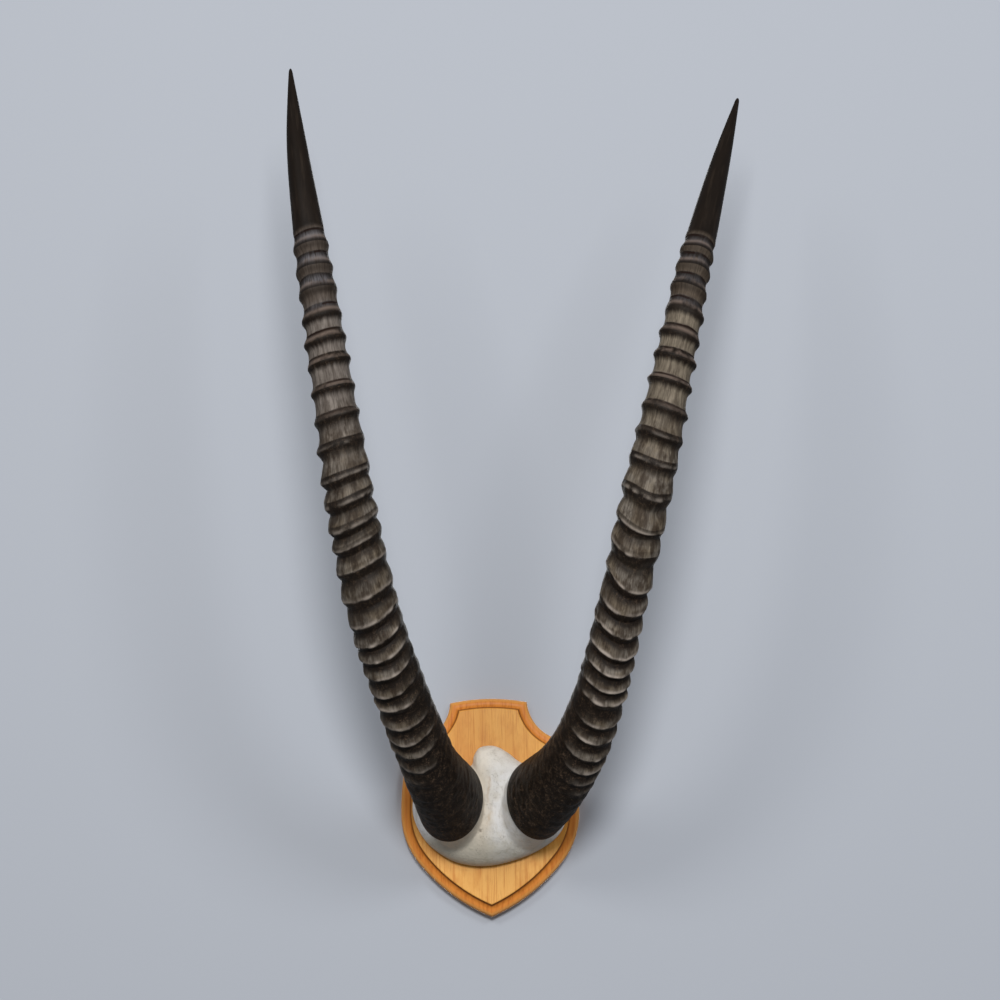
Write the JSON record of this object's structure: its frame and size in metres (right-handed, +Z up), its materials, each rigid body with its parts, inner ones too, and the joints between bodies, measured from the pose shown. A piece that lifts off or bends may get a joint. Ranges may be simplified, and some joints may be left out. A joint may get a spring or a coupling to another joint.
{
  "type": "sable antelope horn mount",
  "caption": "Wall mount of curved, ringed antelope horns on a cut skull plate, fixed to a shield-shaped wooden plaque with an ogee edge.",
  "frame": {"origin": "middle of the plaque's flat back face, where it meets the wall", "axes": "+Z up along the plaque and the horns, +Y into the wall, and the mount's front faces -Y; left and right are as seen from the front"},
  "size_m": [0.3802, 0.2753, 0.6993],
  "materials": {
    "wood": "honey-stained close-grained board under a thin satin varnish",
    "bone": "dry bleached bone, matt, pale grey to warm beige",
    "horn": "dark horn, satin at the tips and rough between the rings",
    "zinc": "bright zinc plate",
    "brass": "thin brass plate"
  },
  "bodies": {
    "root": {"shield_plaque": "wood", "skull_plate": "bone", "left_horn": "horn", "right_horn": "horn", "skull_screw_upper": "zinc", "skull_screw_lower": "zinc", "sawtooth_hanger": "brass", "hanger_nail_left": "brass", "hanger_nail_right": "brass"}
  },
  "joints": []
}
